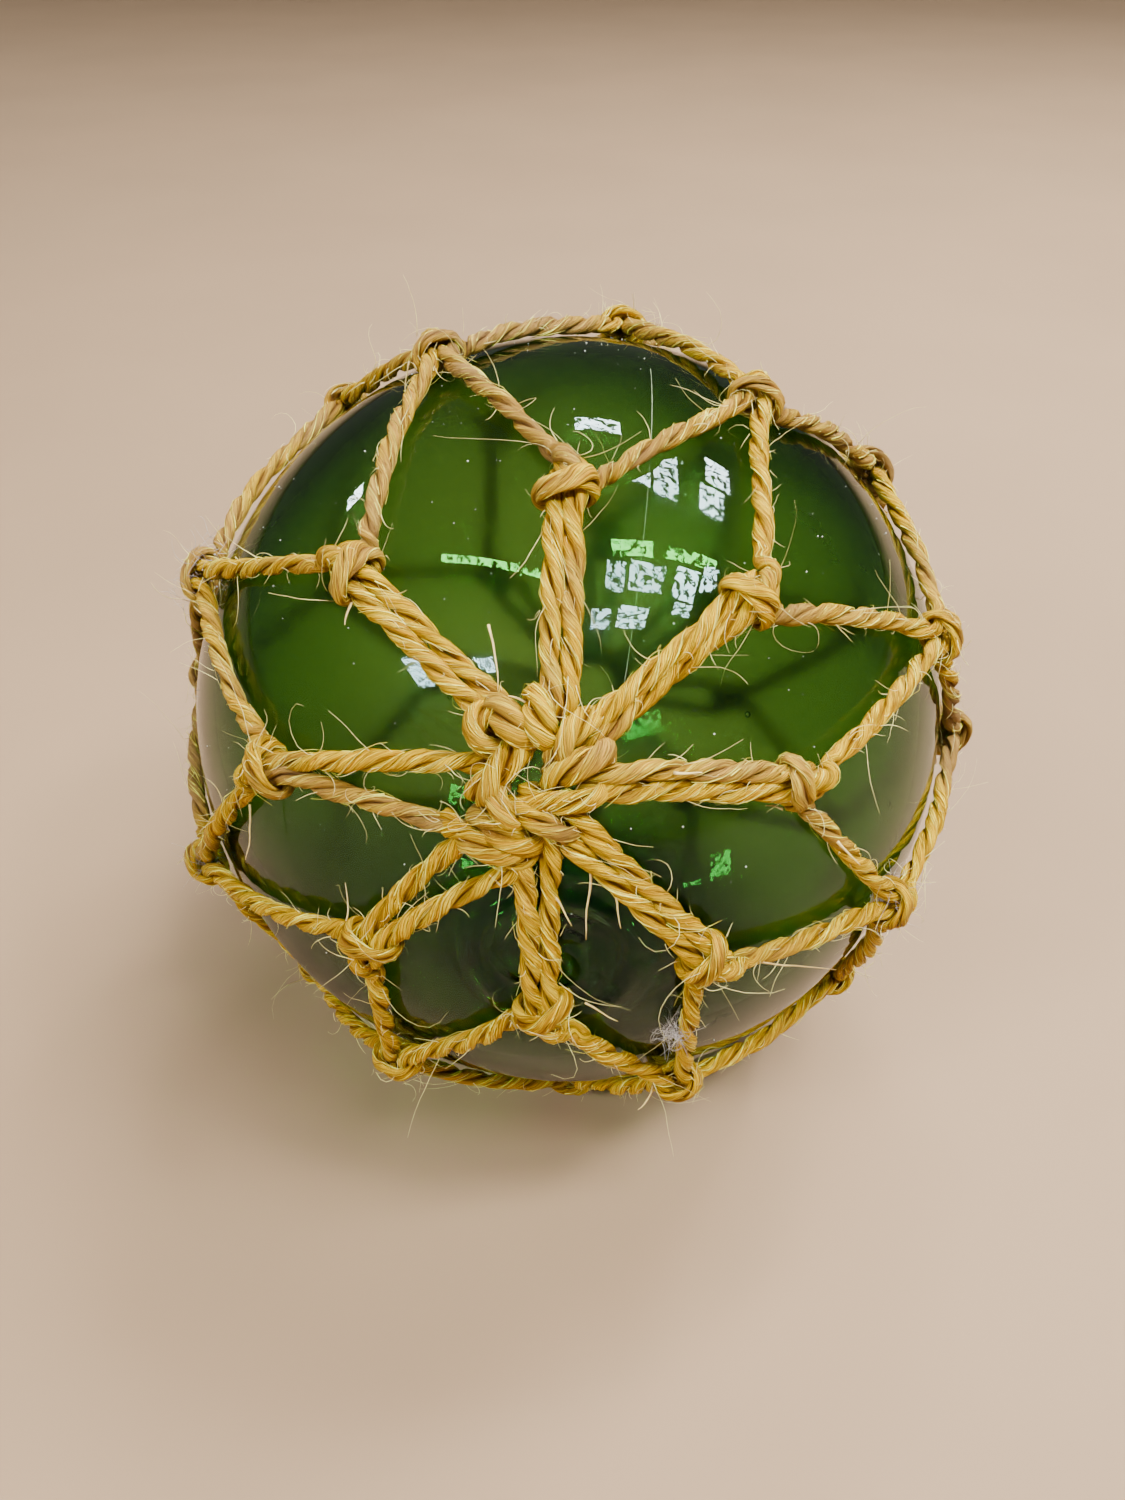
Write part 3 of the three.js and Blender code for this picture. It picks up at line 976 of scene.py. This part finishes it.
class FLOAT_OT_net(bpy.types.Operator):
    """Tie the rounds of netting, each a single two-strand cord"""

    bl_idname = "float.net"
    bl_label = "Net"

    def execute(self, context):
        sizes = context.scene.float_sizes
        material = cord_material("manila_strand", context.scene.float_colours)

        def lay(name, cords, rng, closed):
            parts = MeshParts()
            for route, fat in cords:
                twisted_cord(parts, route, rng, closed, sizes, fat)
            dressed(parts, name, material, "manila_cord", "cord_net")

        for index, name in enumerate(ROW_NAMES):
            rng = np.random.default_rng(100 + index)
            last = index == len(ROW_NAMES) - 1
            route = last_row_route(rng) if last else row_route(index, rng)
            lay(name, [(route, 1.0)], rng, True)
        rng = np.random.default_rng(120)
        lay("net_spokes", ((spoke_route(i, rng), SPOKE_FATNESS) for i in range(SPOKES)), rng, False)
        turns = [(crown_route(*turn), fat) for *turn, fat in CROWN_TURNS]
        tucks = [(tuck_route(points), TUCK_FATNESS) for points in CROWN_TUCKS]
        lay("net_crown", turns + tucks, rng, False)
        lay("net_back_ring", [(back_ring_route(), 1.0)], rng, True)
        return {"FINISHED"}


FIBRE_STEPS = 8


def thread_faces():
    """Faces of a three-sided thread."""
    return [[i * 3 + k, i * 3 + (k + 1) % 3, i * 3 + 3 + (k + 1) % 3, i * 3 + 3 + k]
            for i in range(FIBRE_STEPS - 1) for k in range(3)]


def lying_fibre(skin, first, count, turn, slope, lift, radius):
    """A fibre that lies along a strand's surface and lifts off it at one end."""
    sides = skin.shape[1]
    at = np.linspace(first, first + count, FIBRE_STEPS).astype(int)
    share = np.linspace(0, 1, FIBRE_STEPS)
    k = turn + slope * (at - first)
    low, part = np.floor(k).astype(int), (k - np.floor(k))[:, None]
    surface = skin[at, low % sides] * (1 - part) + skin[at, (low + 1) % sides] * part
    away = unit(surface - skin[at].mean(axis=1))
    rise = 0.03 * MM + lift * share ** 3 + 0.25 * lift * (1 - share) ** 4
    path = surface + away * rise[:, None]
    along = unit(np.gradient(path, axis=0))
    across = np.cross(along, away)
    thick = radius * (1 - 0.75 * share ** 2)[:, None]
    points = [path + (away * math.cos(a) + across * math.sin(a)) * thick for a in (0.5, 2.6, 4.7)]
    return np.stack(points, axis=1).reshape(-1, 3), thread_faces()


FIBRE_CURL, STRAW_CURL, FLUFF_CURL = 1.9, 0.3, 3.5


def add_loose(parts, start, way, length, radius, rng, curl):
    """Adds a loose fibre: a thin tapering thread that bends steadily from its root."""
    points = []
    last = FIBRE_STEPS - 1
    place, way = start.copy(), unit(way)
    about = unit(rng.normal(0, 1, 3))
    bend = rng.normal(0, curl) / last
    for i in range(FIBRE_STEPS):
        a = unit(np.cross(way, about + 1e-3))
        b = np.cross(way, a)
        thick = radius * (1 - 0.7 * i / last)
        for k in range(3):
            angle = math.tau * k / 3
            points.append(place + (a * math.cos(angle) + b * math.sin(angle)) * thick)
        place = place + way * length / last
        way = unit(way + np.cross(about, way) * bend + rng.normal(0, 0.07, 3))
    ends = [[2, 1, 0], [last * 3 + k for k in range(3)]]
    parts.add(settled(np.array(points)), thread_faces() + ends)


STRAW_EVERY = 110  # one stray in so many is a bit of straw
STRAW_ROOT, STRAW_TIP = 2.8, 3.6  # heights above the glass
# The bits of straw that catch the eye: root and tip as elevation and bearing, degrees, radius.
STRAWS = (
    ((18.8, 2.3), (10.2, 2.7), 0.24), ((16.4, -2.3), (11.9, 0.1), 0.24),
    ((-0.3, 1.8), (-2.9, 5.7), 0.22), ((45.1, -12.7), (38.3, -9.0), 0.24),
    ((15.3, -44.3), (8.0, -42.7), 0.22), ((43.8, -36.4), (41.0, -35.3), 0.28),
    ((15.6, 5.2), (11.3, 5.9), 0.20), ((1.6, 23.4), (-7.7, 36.5), 0.20),
)


class FLOAT_OT_strays(bpy.types.Operator):
    """Stand loose fibres and a few bits of straw out of the cords"""

    bl_idname = "float.strays"
    bl_label = "Stray Fibres"

    def execute(self, context):
        scene = context.scene
        half = scene.float_sizes.cord * 0.46
        rng = np.random.default_rng(7)
        lengths = np.array([len(path) for path, _, _ in CORD_PATHS], float)
        fibres, straws = MeshParts(), MeshParts()
        for i in range(scene.float_sizes.strays):
            path, out, side = CORD_PATHS[rng.choice(len(CORD_PATHS), p=lengths / lengths.sum())]
            at = rng.integers(1, len(path) - 1)
            along = unit(path[at + 1] - path[at - 1]) * rng.choice([-1, 1])
            turn = rng.uniform(-1.9, 1.9)
            away = out[at] * math.cos(turn) + side[at] * math.sin(turn)
            start = path[at] + away * half
            if i % STRAW_EVERY == 0:
                way = away * rng.uniform(0.3, 0.9) + along
                length, radius = rng.uniform(3.5, 8) * MM, rng.uniform(0.18, 0.3) * MM
                add_loose(straws, start, way, length, radius, rng, STRAW_CURL)
                continue
            way = away * rng.uniform(0.1, 0.8) + along * rng.uniform(0.2, 1.2)
            length = min(14, 1.0 + rng.exponential(2.8)) * MM
            radius = rng.uniform(0.03, 0.075) * MM
            add_loose(fibres, start, way, length, radius, rng, FIBRE_CURL)
        for root, tip, radius in STRAWS:
            start = above(heading(*root), STRAW_ROOT)
            way = above(heading(*tip), STRAW_TIP) - start
            add_loose(straws, start, way, np.linalg.norm(way), radius * MM, rng, STRAW_CURL)
        finish = matt_material("stray_fibre", (1.0, 0.74, 0.26), 0.5, 0.2, 900.0)
        dressed(fibres, "stray_fibres", finish, "manila_cord")
        finish = matt_material("pale_straw", (0.86, 0.60, 0.20), 0.55, 0.2, 900.0)
        dressed(straws, "straw_bits", finish, "manila_cord")
        lying = MeshParts()
        share = np.array([len(skin) for skin, _ in STRANDS], float)
        for which in rng.choice(len(STRANDS), scene.float_sizes.lying, p=share / share.sum()):
            skin, depth = STRANDS[which]
            count = int(rng.integers(7, 24))
            first = int(rng.integers(0, max(1, len(skin) - count - 1)))
            turn = rng.uniform(0, skin.shape[1])
            if len(skin) <= first + count or depth[first + count // 2, int(turn)] > 0.35:
                continue
            points, faces = lying_fibre(skin, first, count, turn, rng.normal(0, 0.10),
                                        rng.exponential(0.32) * MM,
                                        rng.uniform(0.05, 0.12) * MM)
            lying.add(settled(points), faces)
        finish = matt_material("lying_fibre", (0.98, 0.62, 0.07), 0.5, 0.5, 500.0)
        dressed(lying, "lying_fibres", finish, "manila_cord")
        return {"FINISHED"}


# Where grey fluff has caught: a knot, or elevation and bearing; how far it spreads and lifts, mm.
FLUFF = (((1, 6), 5.5, 6.0), ((1, 5), 3.5, 4.0), ((-9.5, 13.6), 2.2, 3.6), ((1, 2), 3.0, 4.0))
FLUFF_HAIRS, FLUFF_GRAINS = 90, 25

# The two ends of a hair-fine scratch, as elevation and bearing, and the steps between them.
HAIRLINE = ((79.2, 88.0), (37.4, 7.4))
HAIRLINE_STEPS = 60


class FLOAT_OT_dust(bpy.types.Operator):
    """Settle dust specks, a hair-fine scratch and caught fluff on the float"""

    bl_idname = "float.dust"
    bl_label = "Dust"

    def execute(self, context):
        rng = np.random.default_rng(21)
        specks = MeshParts()
        for _ in range(context.scene.float_sizes.specks):
            out = unit(rng.normal(0, 1, 3) + (-0.1, -0.3, 0.9))
            size = (0.03 + rng.exponential(0.03)) * MM
            specks.add(*small_ball(above(out, 0.13), min(size, 0.14 * MM), False))
        finish = matt_material("dust_speck", (0.62, 0.60, 0.52), 0.9, 0.3, 900.0)
        dressed(specks, "dust_specks", finish, "green_glass")
        scratch = MeshParts()
        ends = [heading(*end) for end in HAIRLINE]
        share = np.linspace(0, 1, HAIRLINE_STEPS)[:, None]
        line = unit(ends[0] * (1 - share) + ends[1] * share)
        ring = np.stack([above(out, 0.16) for out in line])
        wide = unit(np.cross(ends[0], ends[1])) * 0.035 * MM
        rise = line * 0.03 * MM
        points = np.stack([ring - wide, ring + rise, ring + wide], axis=1).reshape(-1, 3)
        faces = [[i * 3 + k, i * 3 + k + 1, i * 3 + k + 4, i * 3 + k + 3]
                 for i in range(HAIRLINE_STEPS - 1) for k in range(2)]
        scratch.add(points, faces)
        finish = matt_material("scratch_mark", (0.30, 0.36, 0.20), 0.6, 0.3, 300.0)
        dressed(scratch, "hairline_scratch", finish, "green_glass")
        fluff = MeshParts()
        for where, spread, lift in FLUFF:
            at_knot = isinstance(where[0], int)
            middle = KNOTS[where[0]][where[1]].out if at_knot else heading(*where)
            for _ in range(FLUFF_HAIRS):
                out = unit(middle + rng.normal(0, spread / GLASS_RADIUS / 2.2, 3))
                start = above(out, rng.uniform(0.5, lift))
                way, length = rng.normal(0, 1, 3), rng.uniform(2, 6) * MM
                add_loose(fluff, start, way, length, rng.uniform(0.03, 0.05) * MM, rng, FLUFF_CURL)
            for _ in range(FLUFF_GRAINS):
                out = unit(middle + rng.normal(0, spread / GLASS_RADIUS / 2.5, 3))
                points, faces = small_ball(above(out, rng.uniform(0.5, lift * 0.8)),
                                           rng.uniform(0.06, 0.2) * MM, False)
                fluff.add(settled(points), faces)
        finish = matt_material("grey_fluff", (0.50, 0.43, 0.38), 0.9, 0.3, 700.0)
        dressed(fluff, "caught_fluff", finish, "manila_cord")
        return {"FINISHED"}


class FLOAT_PT_panel(bpy.types.Panel):
    """Buttons for the float's pieces"""

    bl_label = "Glass Float"
    bl_idname = "FLOAT_PT_panel"
    bl_space_type = "VIEW_3D"
    bl_region_type = "UI"
    bl_category = "Glass Float"

    def draw(self, context):
        for name in FloatSizes.__annotations__:
            self.layout.prop(context.scene.float_sizes, name)
        for name in FloatColours.__annotations__:
            self.layout.prop(context.scene.float_colours, name)
        for operator in OPERATORS:
            self.layout.operator(operator.bl_idname)


OPERATORS = (FLOAT_OT_camera, FLOAT_OT_stage, FLOAT_OT_glass, FLOAT_OT_net, FLOAT_OT_strays,
             FLOAT_OT_dust)
CLASSES = (FloatSizes, FloatColours, *OPERATORS, FLOAT_PT_panel)


def register():
    for cls in CLASSES:
        bpy.utils.register_class(cls)
    bpy.types.Scene.float_sizes = bpy.props.PointerProperty(type=FloatSizes)
    bpy.types.Scene.float_colours = bpy.props.PointerProperty(type=FloatColours)


def unregister():
    del bpy.types.Scene.float_colours
    del bpy.types.Scene.float_sizes
    for cls in reversed(CLASSES):
        bpy.utils.unregister_class(cls)


def main():
    register()
    bpy.ops.float.camera()
    bpy.ops.float.stage()
    bpy.ops.float.glass()
    bpy.ops.float.net()
    bpy.ops.float.strays()
    bpy.ops.float.dust()


if __name__ == "__main__":
    main()
